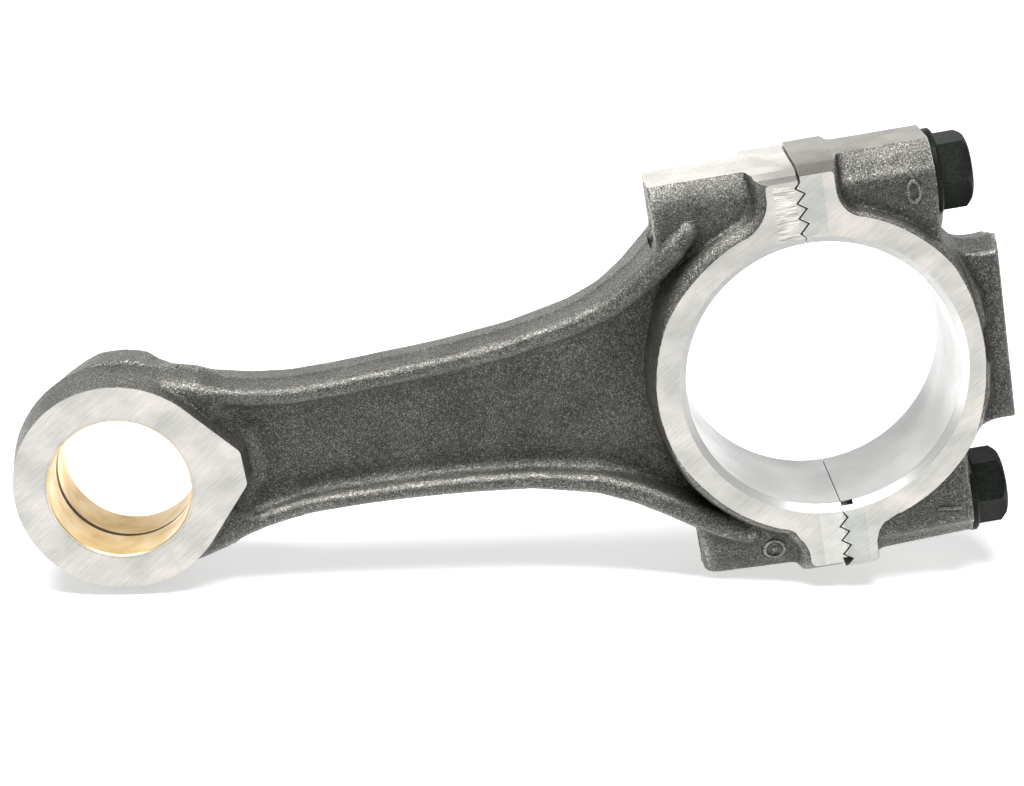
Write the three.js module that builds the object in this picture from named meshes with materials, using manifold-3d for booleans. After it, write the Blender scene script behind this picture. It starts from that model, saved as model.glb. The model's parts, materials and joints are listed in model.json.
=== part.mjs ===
// Connecting rod of a small van diesel engine: a drop-forged I-beam rod with a
// serrated straight split at the crank end, a bolted bearing cap and two pressed
// small-end bushes.  Millimetres, +Z up.  The rod stands on its edge: the small
// end and the lower bolt boss touch the ground and the axis rises towards the cap.
//
// Every solid is drawn in the rod's own frame first: x runs along the rod axis,
// 0 at the crank bore and positive towards the cap, y is the axis of both bores
// with the front face at negative y, and z is the width of the rod.

import * as THREE from 'three';
import { mergeVertices } from 'three/addons/utils/BufferGeometryUtils.js';
import Module from 'manifold-3d';

const wasm = await Module();
wasm.setup();

// ---------------------------------------------------------------- dimensions
const CENTRES = 157;              // crank bore to piston-pin bore
const CRANK_BORE_R = 30.15;       // housing for the bearing shells
const CRANK_WIDTH = 31.3;         // machined width of the crank end
const CRANK_CHAMFER = 1.5;
const RING_R = 36.8;              // outside of the machined ring round the bore
const CAP_CROWN_R = 47.4;         // flatter arc of the ring at the cap's crown
const CAP_CROWN_X = -12.1;
const EDGE_BREAK = 0.3;           // round the machined faces

const PIN_BORE_R = 15.8;          // finished bore of the bushes
const BUSH_WALL = 1.9;
const BUSH_LEAD = 0.8;            // chamfer at the bushes' outer ends
const OIL_GAP = 1.2;              // between the two bushes
const SMALL_WIDTH = 24.1;         // machined width of the small end
const SMALL_FACE_R = 23.6;        // machined face of the small end
const NOSE_REACH = 27.9;          // blunt nose of that face, from the pin axis
const NOSE_HALF_Z = 3.9;
const NOSE_BED = 2.2;             // forging that stands round the face
const NOSE_BED_HALF_Y = 9.2;
const SMALL_FORGED_R = 25.4;      // forging at the parting line
const SMALL_FORGED_HALF_Y = 10.5;
const SMALL_DRAFT = 1.5;
const TOP_PAD_R = 26.9;           // raised pad on top of the small end, rear half
const TOP_PAD_HALF_Y = 4.7;
const TOP_PAD_Y = 5.3;

const FLAT_TOP_Z = 46.8;          // milled side flats over the bolts
const FLAT_LOW_Z = -45.8;
const FLAT_HALF_Y = 12.1;
const CAP_EAR_X = 7.7;            // machined ears at the split
const CAP_EAR_Z = 45.6;
const ROD_EAR_X = -8;
const ROD_EAR_Z = 44.7;
const BOSS_R = 11.6;              // round bosses over the bolts
const BOSS_CHAMFER = 1.2;
const ROD_BOSS_X = -31.8;         // shoulder where the threaded holes come out
const SHOULDER_HALF_Y = 12.4;     // forging between the bosses and the ring
const SHOULDER_DRAFT = 1.2;
const DRAFT_DEPTH = 4;

const FLANGE_HALF_Y = 8.35;       // flanges of the I-beam
const FLANGE_DRAFT = 0.6;
const WEB_HALF_Y = 3.1;

const PAD_X = 42.9;               // balance pad on the crown of the cap
const PAD_TOP_Z = 22.6;
const PAD_LOW_Z = 20.8;
const PAD_HALF_Y = 8.6;
const PAD_DRAFT = 1.4;
const SCOOP_Z = 27.4;             // where the scoops meet the bolt seats

const TOOTH_PITCH = 3.33;         // serrations across the split
const TOOTH_DEPTH = 1.9;
const TOOTH_LONG_FLANK = 1.97;    // the short flank takes the rest of the pitch
const UPPER_TEETH_Z = 32.8;       // first tooth of each side
const LOWER_TEETH_Z = -48.69;

const BOLT_Z = 37.25;             // bolt axes, either side of the bore
const BOLT_R = 5;                 // M10 x 1.25
const BOLT_LENGTH = 62;
const BOLT_POINT = 1;
const HEAD_FLATS = 15;
const HEAD_HEIGHT = 5.7;
const HEAD_CHAMFER = 1.6;
const SEAT_X = 30.2;              // spot face under each washer
const WASHER_R = 9.8;
const WASHER_THICK = 1.7;

const GAP = 0.3;                  // clearance kept between touching pieces
const HALF_GAP = GAP / 2;
const FAR = 80;                   // longer than any piece that a tool cuts
const OVERLAP = 0.01;             // how far a tool reaches out of what it cuts
const ROUND = 64;                 // facets round a large bore
const ROUND_BOLT = 32;            // facets round a bolt
const SIDES = [1, -1];

// Upper edge of the I-beam at the parting line, small end to crank end.
const SHANK_EDGE = [
  [10.5 - CENTRES, 22.3], [-124, 16.4], [-109, 15.5], [-92, 16.1],
  [-74, 17.6], [-60, 19.4], [-49, 22.4], [-36, 29.3],
];

// The pocket beside the web: its walls follow the shank's edge from one place to
// another (0 to 1 along it) at `inset`, and it ends in an arc round the crank end.
const POCKET_MOUTH = { tip: -130, from: 0.12, to: 0.95, inset: 3.4, radius: 39.3, angle: 150 };
const POCKET_FLOOR = { tip: -127, from: 0.14, to: 0.86, inset: 8.3, radius: 42.8, angle: 162 };

// ---------------------------------------------------------------- solids
function solidOf(geometry) {
  const bare = geometry.clone();
  bare.deleteAttribute('normal');
  bare.deleteAttribute('uv');
  const merged = mergeVertices(bare, 1e-4);
  const vertProperties = new Float32Array(merged.attributes.position.array);
  const triVerts = new Uint32Array(merged.index.array);
  return new wasm.Manifold(new wasm.Mesh({ numProp: 3, vertProperties, triVerts }));
}

function geometryOf(solid) {
  const mesh = solid.getMesh();
  const geometry = new THREE.BufferGeometry();
  geometry.setAttribute('position', new THREE.BufferAttribute(mesh.vertProperties, 3));
  geometry.setIndex(new THREE.BufferAttribute(mesh.triVerts, 1));
  geometry.computeVertexNormals();
  return geometry;
}

function joined(solids) {
  return solids.reduce((sum, solid) => sum.add(solid));
}

function cut(solid, tools) {
  return tools.reduce((rest, tool) => rest.subtract(tool), solid);
}

// An outline drawn in (x, z), with its thickness either side of y.
// The draft narrows it by `inset` over the last `depth` before both faces.
function plate(outline, halfY, depth = 0, inset = 0, y = 0) {
  const geometry = new THREE.ExtrudeGeometry(new THREE.Shape(outline), {
    depth: 2 * (halfY - depth),
    bevelEnabled: depth > 0,
    bevelThickness: depth,
    bevelSize: inset,
    bevelOffset: -inset,
    bevelSegments: 1,
  });
  geometry.translate(0, 0, depth - halfY);
  geometry.rotateX(Math.PI / 2);
  geometry.translate(0, y, 0);
  return solidOf(geometry);
}

// A solid that changes from one outline at y0 to another, point by point, at y1 > y0.
function taper(outline0, y0, outline1, y1) {
  const [front, back] = [outline0, outline1].map((outline) => (
    THREE.ShapeUtils.isClockWise(outline) ? [...outline].reverse() : outline
  ));
  const count = front.length;
  const sides = front.flatMap((_, i) => {
    const next = (i + 1) % count;
    return [i, next + count, next, i, i + count, next + count];
  });
  const frontFace = THREE.ShapeUtils.triangulateShape(front, []).flat();
  const backFace = THREE.ShapeUtils.triangulateShape(back, []).flatMap((corners) => (
    corners.reverse().map((corner) => corner + count)
  ));
  const positions = [
    ...front.flatMap((point) => [point.x, y0, point.y]),
    ...back.flatMap((point) => [point.x, y1, point.y]),
  ];
  const geometry = new THREE.BufferGeometry();
  geometry.setAttribute('position', new THREE.Float32BufferAttribute(positions, 3));
  geometry.setIndex([...sides, ...frontFace, ...backFace]);
  return solidOf(geometry);
}

function lathe(profile, segments) {
  const points = profile.map(([radius, along]) => new THREE.Vector2(radius, along));
  return new THREE.LatheGeometry(points, segments);
}

// A turned solid about the axis of a bore, from [radius, y] pairs.
function turnedAboutY(profile, x) {
  return solidOf(lathe(profile, ROUND).translate(x, 0, 0));
}

// A turned solid about a bolt axis, from [radius, x] pairs.
function turnedAboutX(profile, z) {
  return solidOf(lathe(profile, ROUND_BOLT).rotateZ(-Math.PI / 2).translate(0, 0, z));
}

function block(x0, x1, halfY, z0, z1) {
  const geometry = new THREE.BoxGeometry(x1 - x0, 2 * halfY, z1 - z0);
  return solidOf(geometry.translate((x0 + x1) / 2, 0, (z0 + z1) / 2));
}

// ---------------------------------------------------------------- outlines
function at(...pairs) {
  return pairs.map(([x, z]) => new THREE.Vector2(x, z));
}

function arc(x, z, radius, from, to, steps) {
  return Array.from({ length: steps + 1 }, (_, i) => {
    const angle = THREE.MathUtils.degToRad(from + (to - from) * i / steps);
    return new THREE.Vector2(x + radius * Math.cos(angle), z + radius * Math.sin(angle));
  });
}

function bend(from, corner, to, steps = 5) {
  return new THREE.QuadraticBezierCurve(...at(from, corner, to)).getPoints(steps);
}

// A half outline on the +z side, closed by its mirror image.
function mirrored(half) {
  const lower = half.filter((point) => Math.abs(point.y) > 1e-6);
  return half.concat(lower.reverse().map((point) => new THREE.Vector2(point.x, -point.y)));
}

function shankOutline() {
  return mirrored([
    ...at([-CENTRES, 20]),
    ...new THREE.SplineCurve(at(...SHANK_EDGE)).getPoints(20),
    ...at([-33.6, 32], [-20, 32], [-20, 0]),
  ]);
}

function pocketOutline({ tip, from, to, inset, radius, angle }) {
  const edge = new THREE.SplineCurve(at(...SHANK_EDGE));
  const steps = 12;
  const wall = Array.from({ length: steps + 1 }, (_, i) => edge.getPoint(from + (to - from) * i / steps));
  return mirrored([
    ...at([tip, 0], [tip - 1, 5]),
    ...wall.map((point) => new THREE.Vector2(point.x, point.y - inset)),
    ...arc(0, 0, radius, angle, 180, 6),
  ]);
}

// Machined face of the crank end: the ring and the four ears at the split.
function crankFaceOutline() {
  const crossX = (RING_R ** 2 - CAP_CROWN_R ** 2 + CAP_CROWN_X ** 2) / (2 * CAP_CROWN_X);
  const ringFrom = THREE.MathUtils.radToDeg(Math.acos(crossX / RING_R));
  const crownTo = THREE.MathUtils.radToDeg(Math.acos((crossX - CAP_CROWN_X) / CAP_CROWN_R));
  return mirrored([
    ...arc(CAP_CROWN_X, 0, CAP_CROWN_R, 0, crownTo, 6),
    ...arc(0, 0, RING_R, ringFrom, 70, 8).slice(1),
    ...bend([12.3, 34.5], [8.3, 36], [CAP_EAR_X, 40.5]),
    ...bend([CAP_EAR_X - 0.3, CAP_EAR_Z - 1.8], [CAP_EAR_X - 0.4, CAP_EAR_Z], [CAP_EAR_X - 2, CAP_EAR_Z], 3),
    ...at([0, CAP_EAR_Z], [0, ROD_EAR_Z]),
    ...bend([ROD_EAR_X + 1, ROD_EAR_Z], [ROD_EAR_X + 0.3, ROD_EAR_Z], [ROD_EAR_X + 0.2, ROD_EAR_Z - 1.2], 3),
    ...bend([ROD_EAR_X - 0.1, 40.5], [-8.9, 36.4], [-12.8, 34.3]),
    ...arc(0, 0, RING_R, 111, 180, 16),
  ]);
}

// Machined face of the small end: a disc with a blunt nose towards the shank.
function smallFaceOutline(grow = 0) {
  const radius = SMALL_FACE_R + grow;
  const reach = NOSE_REACH + grow;
  const toCorner = THREE.MathUtils.radToDeg(Math.atan2(NOSE_HALF_Z, reach));
  const fromCorner = THREE.MathUtils.radToDeg(Math.acos(radius / Math.hypot(reach, NOSE_HALF_Z)));
  return mirrored([
    ...at([reach - CENTRES, 0], [reach - CENTRES, NOSE_HALF_Z]),
    ...arc(-CENTRES, 0, radius, toCorner + fromCorner, 180, 22),
  ]);
}

// Forging that carries the ring into the bolt bosses, on the rod and on the cap.
function rodShoulderOutline() {
  return mirrored([
    ...at([0, BOLT_Z + 4], [ROD_BOSS_X, BOLT_Z + 4]),
    ...bend([ROD_BOSS_X, 35.5], [ROD_BOSS_X, 31.5], [-28, 28]),
    ...arc(0, 0, RING_R + 2, 136, 180, 10),
  ]);
}

function capShoulderOutline() {
  return mirrored([
    ...at([0, BOLT_Z + 4], [SEAT_X, BOLT_Z + 4], [SEAT_X, 27.2], [SEAT_X - 1, 25]),
    ...arc(0, 0, RING_R + 1.2, 39, 0, 10),
  ]);
}

// Balance pad: flat crown, scooped at both ends to clear the bolt heads.
function capPadOutline() {
  const [upper, lower] = [PAD_TOP_Z, PAD_LOW_Z].map((z) => [
    ...at([PAD_X, z]),
    ...bend([PAD_X - 4, z], [SEAT_X + 1.8, z + 0.6], [SEAT_X + 0.2, SCOOP_Z]),
    ...at([20, SCOOP_Z]),
  ]);
  return upper.concat(lower.reverse().map((point) => new THREE.Vector2(point.x, -point.y)));
}

// ---------------------------------------------------------------- cutting tools
function teeth(firstZ, count) {
  return Array.from({ length: count }, (_, i) => firstZ + i * TOOTH_PITCH).flatMap((z) => [
    [-TOOTH_DEPTH / 2, z],
    [TOOTH_DEPTH / 2, z + TOOTH_LONG_FLANK],
  ]);
}

// The serrated split, moved by `offset` along x.  Everything on the cap's side
// (side = 1) or on the rod's side (side = -1) of it is inside the tool.
function splitTool(side, offset) {
  const face = [
    [-TOOTH_DEPTH / 2, -FAR], ...teeth(LOWER_TEETH_Z, 5), [0, -UPPER_TEETH_Z + 1],
    [0, UPPER_TEETH_Z - 1], ...teeth(UPPER_TEETH_Z, 4).slice(0, -1), [0, CAP_EAR_Z - 1.7], [0, FAR],
  ];
  const outline = at(...face.map(([x, z]) => [x + offset, z]), [side * FAR, FAR], [side * FAR, -FAR]);
  return plate(outline, FAR);
}

function crankBoreTool() {
  const half = CRANK_WIDTH / 2;
  const mouth = CRANK_BORE_R + CRANK_CHAMFER;
  const neck = half - CRANK_CHAMFER;
  return turnedAboutY([
    [0, -FAR], [mouth, -FAR], [mouth, -half], [CRANK_BORE_R, -neck],
    [CRANK_BORE_R, neck], [mouth, half], [mouth, FAR], [0, FAR],
  ], 0);
}

function pinBoreTool() {
  const radius = PIN_BORE_R + BUSH_WALL + HALF_GAP;
  return turnedAboutY([[0, -FAR], [radius, -FAR], [radius, FAR], [0, FAR]], -CENTRES);
}

function boltHoleTools() {
  const radius = BOLT_R + GAP;
  return SIDES.map((side) => (
    turnedAboutX([[0, -FAR], [radius, -FAR], [radius, FAR], [0, FAR]], side * BOLT_Z)
  ));
}

function pocketTools() {
  const floor = pocketOutline(POCKET_FLOOR);
  const mouth = pocketOutline(POCKET_MOUTH);
  const top = FLANGE_HALF_Y + OVERLAP;
  return [taper(floor, WEB_HALF_Y, mouth, top), taper(mouth, -top, floor, -WEB_HALF_Y)];
}

// ---------------------------------------------------------------- rod and cap
// Round bosses over the bolts, from the split to `end`, milled flat outside,
// with the wider flats of the ears between the split and `ear`.
function bosses(end, ear) {
  const way = Math.sign(end);
  const profile = [
    [0, 0], [BOSS_R, 0], [BOSS_R, end - way * BOSS_CHAMFER], [BOSS_R - BOSS_CHAMFER, end], [0, end],
  ];
  const between = block(-FAR, FAR, FAR, FLAT_LOW_Z, FLAT_TOP_Z);
  return SIDES.map((side) => {
    const round = turnedAboutX(way > 0 ? profile : [...profile].reverse(), side * BOLT_Z);
    const [low, high] = side > 0 ? [BOLT_Z, FLAT_TOP_Z] : [FLAT_LOW_Z, -BOLT_Z];
    return round.intersect(between).add(block(Math.min(0, ear), Math.max(0, ear), FLAT_HALF_Y, low, high));
  });
}

function smallForging() {
  const [half, rim] = [SMALL_FORGED_HALF_Y, SMALL_FORGED_R - SMALL_DRAFT];
  return turnedAboutY([
    [0, -half], [rim, -half], [SMALL_FORGED_R, -1], [SMALL_FORGED_R, 1], [rim, half], [0, half],
  ], -CENTRES);
}

function topPad() {
  const outline = [...arc(-CENTRES, 0, TOP_PAD_R, 68, 98, 6), ...at([-CENTRES - 7, 20], [-CENTRES + 14, 20])];
  return plate(outline, TOP_PAD_HALF_Y, 2, 1.2, TOP_PAD_Y);
}

function rodBody() {
  const blank = joined([
    cut(plate(shankOutline(), FLANGE_HALF_Y, 3, FLANGE_DRAFT), pocketTools()),
    smallForging(),
    topPad(),
    plate(smallFaceOutline(NOSE_BED), NOSE_BED_HALF_Y, DRAFT_DEPTH, SMALL_DRAFT),
    plate(smallFaceOutline(), SMALL_WIDTH / 2, EDGE_BREAK, EDGE_BREAK),
    plate(rodShoulderOutline(), SHOULDER_HALF_Y, DRAFT_DEPTH, SHOULDER_DRAFT),
    ...bosses(ROD_BOSS_X, ROD_EAR_X),
    plate(crankFaceOutline(), CRANK_WIDTH / 2, EDGE_BREAK, EDGE_BREAK),
  ]);
  return cut(blank, [crankBoreTool(), pinBoreTool(), ...boltHoleTools(), splitTool(1, -HALF_GAP)]);
}

function bearingCap() {
  const blank = joined([
    plate(capPadOutline(), PAD_HALF_Y, PAD_HALF_Y - 1, PAD_DRAFT),
    plate(capShoulderOutline(), SHOULDER_HALF_Y, DRAFT_DEPTH, SHOULDER_DRAFT),
    ...bosses(SEAT_X, CAP_EAR_X),
    plate(crankFaceOutline(), CRANK_WIDTH / 2, EDGE_BREAK, EDGE_BREAK),
  ]);
  return cut(blank, [crankBoreTool(), ...boltHoleTools(), splitTool(-1, HALF_GAP)]);
}

// ---------------------------------------------------------------- bushes
// Front bush, with its chamfer at the front; the rear one is its mirror image.
function bush(side) {
  const outer = PIN_BORE_R + BUSH_WALL - HALF_GAP;
  const inner = OIL_GAP / 2;
  const end = SMALL_WIDTH / 2 - EDGE_BREAK;
  const section = [
    [PIN_BORE_R, inner], [outer, inner], [outer, end],
    [PIN_BORE_R + BUSH_LEAD, end], [PIN_BORE_R, end - BUSH_LEAD], [PIN_BORE_R, inner],
  ];
  const facing = section.map(([radius, y]) => [radius, side * y]);
  return turnedAboutY(side > 0 ? facing : facing.reverse(), -CENTRES);
}

// ---------------------------------------------------------------- fasteners
function washer(z) {
  const hole = BOLT_R + GAP;
  const under = SEAT_X + GAP;
  const top = SEAT_X + WASHER_THICK;
  return turnedAboutX([
    [hole, under], [WASHER_R, under], [WASHER_R, top - EDGE_BREAK], [WASHER_R - EDGE_BREAK, top],
    [hole, top], [hole, under],
  ], z);
}

function bolt(z) {
  const under = SEAT_X + WASHER_THICK + GAP;
  const top = under + HEAD_HEIGHT;
  const tip = under - BOLT_LENGTH;
  const corner = HEAD_FLATS / Math.sqrt(3);
  const hexagon = new THREE.CylinderGeometry(corner, corner, HEAD_HEIGHT, 6);
  hexagon.rotateZ(-Math.PI / 2).rotateX(Math.PI / 2).translate(under + HEAD_HEIGHT / 2, 0, z);
  const crown = turnedAboutX([
    [0, under - 1], [corner + 1, under - 1], [corner + 1, top - HEAD_CHAMFER],
    [corner - HEAD_CHAMFER, top], [0, top],
  ], z);
  const shank = turnedAboutX([
    [0, tip], [BOLT_R - BOLT_POINT, tip], [BOLT_R, tip + BOLT_POINT], [BOLT_R, under + 1], [0, under + 1],
  ], z);
  return solidOf(hexagon).intersect(crown).add(shank);
}

// ---------------------------------------------------------------- looks
function metal(color, roughness) {
  return new THREE.MeshStandardMaterial({ color, roughness, metalness: 1 });
}

const forgedSteel = metal(0x6c6b66, 0.55);
const bronze = metal(0xc9a468, 0.35);
const blackSteel = metal(0x242424, 0.45);

// ---------------------------------------------------------------- assembly
const rodFrame = new THREE.Group();

function addPiece(name, solid, material) {
  const mesh = new THREE.Mesh(geometryOf(solid), material);
  mesh.name = name;
  rodFrame.add(mesh);
}

addPiece('rod_body', rodBody(), forgedSteel);
addPiece('bearing_cap', bearingCap(), forgedSteel);
addPiece('small_end_bush_front', bush(-1), bronze);
addPiece('small_end_bush_rear', bush(1), bronze);
for (const [place, z] of [['upper', BOLT_Z], ['lower', -BOLT_Z]]) {
  addPiece(`${place}_washer`, washer(z), blackSteel);
  addPiece(`${place}_bolt`, bolt(z), blackSteel);
}

// The rod rests on the small end's rim and on the shoulder of the lower boss:
// both are equally far below the axis once the axis is turned up by this angle.
const run = CENTRES + ROD_BOSS_X + BOSS_CHAMFER;
const lean = Math.asin(SMALL_FORGED_R / Math.hypot(run, FLAT_LOW_Z));
rodFrame.rotation.y = lean - Math.atan2(-FLAT_LOW_Z, run);

// Origin on the ground, in the middle of the part.
const rod = new THREE.Group();
rod.add(rodFrame);
rod.updateMatrixWorld(true);
const extent = new THREE.Box3().setFromObject(rod, true);
const middle = extent.getCenter(new THREE.Vector3());
rod.position.set(-middle.x, -middle.y, -extent.min.z);
rod.updateMatrixWorld(true);

export default rod;
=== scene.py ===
import json
import math

import bmesh
import bpy
import numpy as np
from mathutils import Matrix, Vector
from mathutils.bvhtree import BVHTree


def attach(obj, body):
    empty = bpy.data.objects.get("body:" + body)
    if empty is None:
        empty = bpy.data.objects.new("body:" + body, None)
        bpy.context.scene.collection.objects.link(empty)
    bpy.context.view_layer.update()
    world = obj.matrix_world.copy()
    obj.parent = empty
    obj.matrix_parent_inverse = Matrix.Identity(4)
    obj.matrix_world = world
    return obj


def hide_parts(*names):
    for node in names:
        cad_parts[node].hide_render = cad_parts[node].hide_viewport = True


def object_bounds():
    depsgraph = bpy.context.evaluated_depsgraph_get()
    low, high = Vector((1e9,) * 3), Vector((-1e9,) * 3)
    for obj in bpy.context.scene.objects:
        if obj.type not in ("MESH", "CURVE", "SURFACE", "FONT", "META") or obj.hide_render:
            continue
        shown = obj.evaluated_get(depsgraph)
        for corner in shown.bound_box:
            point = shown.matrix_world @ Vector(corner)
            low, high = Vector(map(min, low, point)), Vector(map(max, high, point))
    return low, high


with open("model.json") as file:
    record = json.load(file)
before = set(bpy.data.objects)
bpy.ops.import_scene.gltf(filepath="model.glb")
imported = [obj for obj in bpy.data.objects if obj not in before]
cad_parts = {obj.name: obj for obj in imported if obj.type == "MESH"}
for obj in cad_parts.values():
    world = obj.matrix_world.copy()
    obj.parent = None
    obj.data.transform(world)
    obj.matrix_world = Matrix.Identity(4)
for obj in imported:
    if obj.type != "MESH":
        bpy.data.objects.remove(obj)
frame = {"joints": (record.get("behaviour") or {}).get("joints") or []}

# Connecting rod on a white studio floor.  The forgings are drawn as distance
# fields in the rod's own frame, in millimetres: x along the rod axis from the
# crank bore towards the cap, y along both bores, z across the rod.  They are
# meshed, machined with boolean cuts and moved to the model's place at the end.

cad_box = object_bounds()

# ---------------------------------------------------------------- dimensions
MM = 0.001
CENTRES = 157.0
CRANK_BORE_R = 30.15
CRANK_HALF_Y = 15.65
CRANK_CHAMFER = 1.5
RING_R = 36.8
CAP_CROWN_R = 47.4
CAP_CROWN_X = -12.1
RING_DRAFT = 0.13                  # drafts are growth per millimetre of depth

PIN_BORE_R = 15.8
BUSH_OUTER_R = 16.5
BUSH_LEAD = 0.25
OIL_GAP = 1.9
SMALL_HALF_Y = 12.05
SMALL_FACE_R = 23.6
SMALL_DRAFT = 0.15
NOSE_DRAFT = 0.1
LEDGE_DRAFT = 0.4
LEDGE_HALF_Y = 5.6
NOSE_REACH = 27.9
NOSE_HALF_Z = 3.9
TOP_PAD_R = 25.8
TOP_PAD_Y = 4.8
TOP_PAD_HALF_Y = 5.0

FLAT_TOP_Z = 46.8
ROD_FLAT_TOP_Z = 46.3
FLAT_LOW_Z = -45.6
FLAT_LOW_RISE = 0.033
CAP_EAR_X = 7.7
CAP_EAR_Z = 45.6
ROD_EAR_X = -8.0
ROD_EAR_Z = 44.7
CAP_EAR_SLOPE = 0.366
ROD_EAR_SLOPE = 0.5
EAR_RUN_Z = 60.0                   # the machined face's outline runs on to here
LOWER_EAR_INSET = 0.7              # the lower ears end this much before the upper ones
BOLT_Z = 37.25
BOSS_R = 11.6
ROD_BOSS_X = -31.8
JOINT_X = 30.2                     # where the record puts the bolts' joints
SEAT_X = 29.5
SHOULDER_HALF_Y = 11.7
SHOULDER_DRAFT = 0.1
SPOT_FACE_R = 10.7
SPOT_FACE_Z = 30.5                 # the seats are milled from here outwards

WEB_HALF_Y = 3.1
POCKET_R = 4.9                     # radius of the pocket's scooped wall
FLANGE_HALF_Y = 8.15
FLANGE_GROWTH = 2.2                # of its half depth, towards the crank end
FLANGE_DRAFT = 0.09
FLANGE_INSET = 8.3                 # web's edge below the top of the flange

PAD_X = 42.9
PAD_TOP_Z = 21.6
PAD_LOW_Z = 20.8
PAD_HALF_Y = 8.6
PAD_DRAFT = 0.15
SCOOP_Z = 27.4

TOOTH_PITCH = 3.33
TOOTH_DEPTH = 1.9
TOOTH_LONG_FLANK = 1.97
UPPER_TEETH_Z = 32.8
LOWER_TEETH_Z = -48.69
JOINT_GAP = 0.2
TOOTH_GAP = 0.5
TEETH_FROM_Z = 32.4                # both sets of teeth lie past this height

BOLT_R = 5.0
BOLT_PITCH = 1.25
THREAD_DEPTH = 0.61 * BOLT_PITCH
THREAD_CLEARANCE = 0.12
HOLE_CLEARANCE = 0.4
BOLT_LENGTH = 61.4
HEAD_FLATS = 15.0
HEAD_HEIGHT = 7.1
WASHER_R = 9.85
WASHER_THICK = 1.8
CLEAR = 0.02                       # between faces that bear on each other

FLASH_HEIGHT = 0.3                 # what is left of the flash along the parting line
FLASH_WIDTH = 0.8
FLASH_SHADOW_Y = 0.55                     # middle of the painted shadow line beside the flash's step

BORE_SEGMENTS = 128
STEP = 0.7                         # sampling of the forgings' fields
FAR = 90.0                         # past the object's top and bottom
WIDE = 40.0                        # past its front and back

# ---------------------------------------------------------------- rod's own frame
joints = {joint["name"]: joint for joint in frame["joints"]}
along = Vector(joints["cap_slide"]["axis"]).normalized()
seats = [Vector(joints[side + "_bolt_spin"]["pos_m"]) for side in ("upper", "lower")]
across = (seats[0] - seats[1]).normalized()
bore = across.cross(along)
crank_centre = (seats[0] + seats[1]) / 2 - along * JOINT_X * MM
turn = Matrix((along, bore, across)).transposed().to_4x4()
ROD = Matrix.Translation(crank_centre) @ turn @ Matrix.Scale(MM, 4)


# ---------------------------------------------------------------- outlines
def arc(x, z, radius, start, end, steps):
    angles = np.radians(np.linspace(start, end, steps + 1))
    return [(x + radius * math.cos(a), z + radius * math.sin(a)) for a in angles]


def bend(start, corner, end, steps=8):
    """Quadratic curve from start to end, pulled towards the corner."""
    start, corner, end = (np.array(point, float) for point in (start, corner, end))
    return [
        tuple((1 - t) ** 2 * start + 2 * t * (1 - t) * corner + t * t * end)
        for t in np.linspace(0, 1, steps + 1)
    ]


def spline(points, steps):
    """Catmull-Rom curve through the points."""
    knots = [np.array(p, float) for p in (points[0], *points, points[-1])]
    made = []
    for k in range(1, len(knots) - 2):
        p0, p1, p2, p3 = knots[k - 1:k + 3]
        for t in np.arange(steps) / steps:
            bent = (2 * p0 - 5 * p1 + 4 * p2 - p3) * t * t + (3 * p1 - p0 - 3 * p2 + p3) * t ** 3
            made.append(tuple(p1 + ((p2 - p0) * t + bent) / 2))
    return made + [tuple(knots[-1])]


def mirrored(half):
    """A half outline on the +z side, closed by its mirror image."""
    return list(half) + [(x, -z) for x, z in reversed(half) if abs(z) > 1e-6]


SHANK_EDGE = spline([
    (10.5 - CENTRES, 22.6), (-124, 16.4), (-109, 15.5), (-92, 16.1),
    (-74, 17.6), (-60, 19.4), (-49, 22.4), (-36, 29.3),
], 6)


def shank_outline():
    return mirrored([(-CENTRES, 20), *SHANK_EDGE, (-33.6, 32), (-20, 32), (-20, 0)])


def web_outline():
    """Flat floor of the pocket beside the web; it runs on under the ring and up beside the boss."""
    edge = [(x, z - FLANGE_INSET) for x, z in SHANK_EDGE if -117 < x < -56]
    return mirrored([
        (-125.5, 0), (-127, 4.6), (-129, 7.0), *edge,
        (-52, 12.3), (-44, 15.8), (-37, 20.6), (-31, 25.6), (-24, 31.6), (-19, 35.5),
        (-16, 36), (-16, 30), (-16, 0),
    ])


def crank_outline():
    """Machined face of the crank end.  The lower ear sits a little nearer the rod."""
    cross_x = (RING_R ** 2 - CAP_CROWN_R ** 2 + CAP_CROWN_X ** 2) / (2 * CAP_CROWN_X)
    ring_from = math.degrees(math.acos(cross_x / RING_R))
    crown_to = math.degrees(math.acos((cross_x - CAP_CROWN_X) / CAP_CROWN_R))
    outline = mirrored([
        *arc(CAP_CROWN_X, 0, CAP_CROWN_R, 0, crown_to, 12),
        *arc(0, 0, RING_R, ring_from, 70, 12)[1:],
        *bend((12.3, 34.5), (8.3, 36), (CAP_EAR_X, 40.5)),
        (CAP_EAR_X - 0.3, EAR_RUN_Z), (ROD_EAR_X + 0.3, EAR_RUN_Z),
        *bend((ROD_EAR_X, 40.5), (-8.9, 36.4), (-12.8, 34.3)),
        *arc(0, 0, RING_R, 111, 180, 24),
    ])
    return [(x - 0.8 if z < -36 else x, z) for x, z in outline]


def small_outline():
    """Machined face of the small end: a disc with a blunt nose towards the shank."""
    corner = math.degrees(math.atan2(NOSE_HALF_Z, NOSE_REACH))
    touch = math.degrees(math.acos(SMALL_FACE_R / math.hypot(NOSE_REACH, NOSE_HALF_Z)))
    nose_x = NOSE_REACH - CENTRES
    return mirrored([
        (nose_x, 0), (nose_x, NOSE_HALF_Z), *arc(-CENTRES, 0, SMALL_FACE_R, corner + touch, 180, 40),
    ])


# forged ledge round the nose of the small end
NOSE_LEDGE = mirrored([
    (-127.0, 0), (-127.5, 5.6), (-137.6, 18.8), (-143, 20), (-CENTRES, 12), (-CENTRES, 0),
])

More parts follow.
